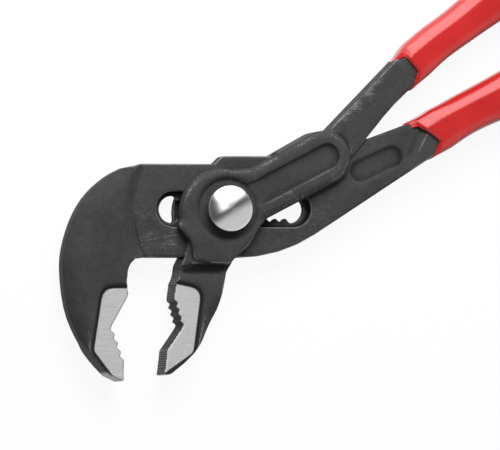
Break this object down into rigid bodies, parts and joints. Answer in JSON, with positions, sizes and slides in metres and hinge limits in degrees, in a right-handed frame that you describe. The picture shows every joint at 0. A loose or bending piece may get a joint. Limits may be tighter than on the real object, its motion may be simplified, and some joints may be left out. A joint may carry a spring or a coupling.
{
  "type": "water_pump_pliers",
  "caption": "Push-button water pump pliers with a sliding box joint, hooked toothed jaws with ground flats and red dipped grips",
  "frame": {"origin": "middle of the bounding box, on the plane of the fork's back face", "axes": "+X along the slot from the jaws to the handles, +Y from the jaw tips towards the back of the arm, +Z out of the button"},
  "size_m": [0.2198, 0.1734, 0.0197],
  "materials": {
    "black_forging": "dark phosphated forging with rubbed edges and ground jaw flats",
    "polished_chrome": "polished",
    "bare_steel": "plain machined",
    "red_dip": "glossy dipped"
  },
  "bodies": {
    "slotted_half": {"slotted_lever": "black_forging", "lower_grip": "red_dip"},
    "pivot_carriage": {"spring_seat": "bare_steel", "return_spring": "bare_steel"},
    "fork_half": {"fork_lever": "black_forging", "upper_grip": "red_dip"},
    "plunger": {"joint_bolt": "bare_steel", "push_button": "polished_chrome"}
  },
  "joints": [
    {"name": "slot_slide", "type": "slide", "parent": "slotted_half", "child": "pivot_carriage", "axis": [1, 0, 0], "range_m": [-0.012, 0.006]},
    {"name": "jaw_hinge", "type": "hinge", "parent": "pivot_carriage", "child": "fork_half", "pos_m": [-0.05925, -0.03472, 0.0072], "axis": [0, 0, 1], "range_deg": [0, 20]},
    {"name": "button_press", "type": "slide", "parent": "pivot_carriage", "child": "plunger", "axis": [0, 0, -1], "range_m": [0, 0.0029], "stiffness_N_per_m": 2000, "springref_m": -0.001, "deforming": ["return_spring"]}
  ]
}
